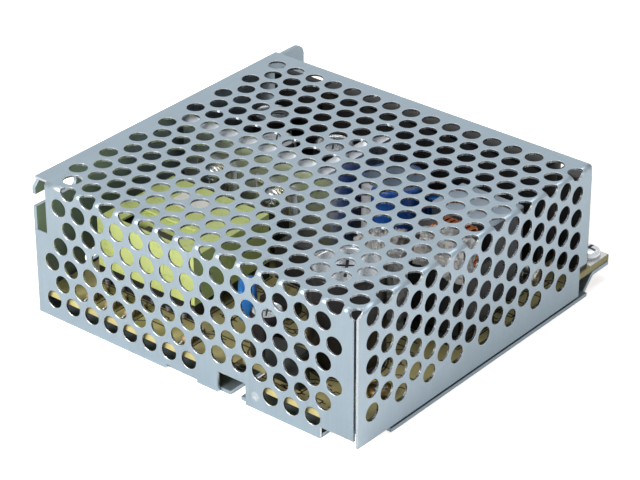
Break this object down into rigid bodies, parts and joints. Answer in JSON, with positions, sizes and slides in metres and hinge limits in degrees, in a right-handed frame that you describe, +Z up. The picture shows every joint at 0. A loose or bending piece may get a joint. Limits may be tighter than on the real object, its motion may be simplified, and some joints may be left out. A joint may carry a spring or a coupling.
{
  "type": "enclosed switching power supply",
  "caption": "Low folded-sheet case, perforated on the top, the front and one side, around a circuit board with an open row of screw terminals at the back.",
  "frame": {"origin": "middle of the bounding box, on the underside", "axes": "+X from the solid side wall to the perforated side, +Y from the perforated front to the terminals, +Z up from the base"},
  "size_m": [0.097, 0.099, 0.036],
  "materials": {
    "sheet": "zinc-plated, satin",
    "film": "matt film",
    "board": "bare laminate, satin",
    "screw": "zinc-plated, bright",
    "moulding": "moulded, satin",
    "plate": "nickel-plated, bright",
    "trimmer": "moulded, glossy",
    "rotor": "moulded, satin",
    "lamp": "clear resin, glossy",
    "ferrite": "sintered, matt",
    "powder_core": "coated, satin",
    "copper": "enamelled wire, glossy",
    "tape": "polyester tape, satin",
    "label": "paper, matt",
    "can": "drawn, satin",
    "dark_sleeve": "shrunk sleeve, glossy",
    "blue_sleeve": "shrunk sleeve, glossy",
    "blue_resin": "dipped resin, glossy",
    "dark_resin": "dipped resin, glossy",
    "pale_box": "moulded, satin",
    "resistor": "lacquered, satin",
    "glass": "clear glass",
    "aluminium": "mill finish",
    "pad": "matt",
    "silicone": "cured, satin"
  },
  "bodies": {
    "case": {"cover": "sheet", "chassis": "sheet", "insulating_sheet": "film", "circuit_board": "board", "board_screws": "screw", "terminal_block": "moulding", "terminal_plates": "plate", "terminal_screws": "screw", "trimmer_body": "trimmer", "indicator_lamp": "lamp", "transformer_core": "ferrite", "transformer_bobbin": "moulding", "transformer_winding": "copper", "transformer_tape": "tape", "transformer_label": "label", "main_capacitor_can": "can", "main_capacitor_sleeve": "dark_sleeve", "auxiliary_capacitor": "dark_sleeve", "filter_capacitor": "blue_sleeve", "output_capacitors": "dark_sleeve", "safety_capacitor": "blue_resin", "thermistor": "dark_resin", "varistor": "blue_resin", "mains_capacitor": "pale_box", "film_capacitor": "pale_box", "bridge_rectifier": "moulding", "optocouplers": "moulding", "controller_chip": "moulding", "resistors": "resistor", "diodes": "moulding", "fuse_tube": "glass", "fuse_caps": "plate", "heat_sink": "aluminium", "power_transistor": "moulding", "output_rectifier": "moulding", "insulating_pads": "pad", "device_screws": "screw", "choke_base": "moulding", "choke_core": "ferrite", "choke_coils": "copper", "output_choke_core": "powder_core", "output_choke_winding": "copper", "silicone_glue": "silicone"},
    "trimmer": {"trimmer_rotor": "rotor"}
  },
  "joints": [
    {"name": "trimmer_turn", "type": "hinge", "parent": "case", "child": "trimmer", "pos_m": [-0.0351, 0.0421, 0.0108], "axis": [0, 0, 1], "range_deg": [-115, 115]}
  ]
}
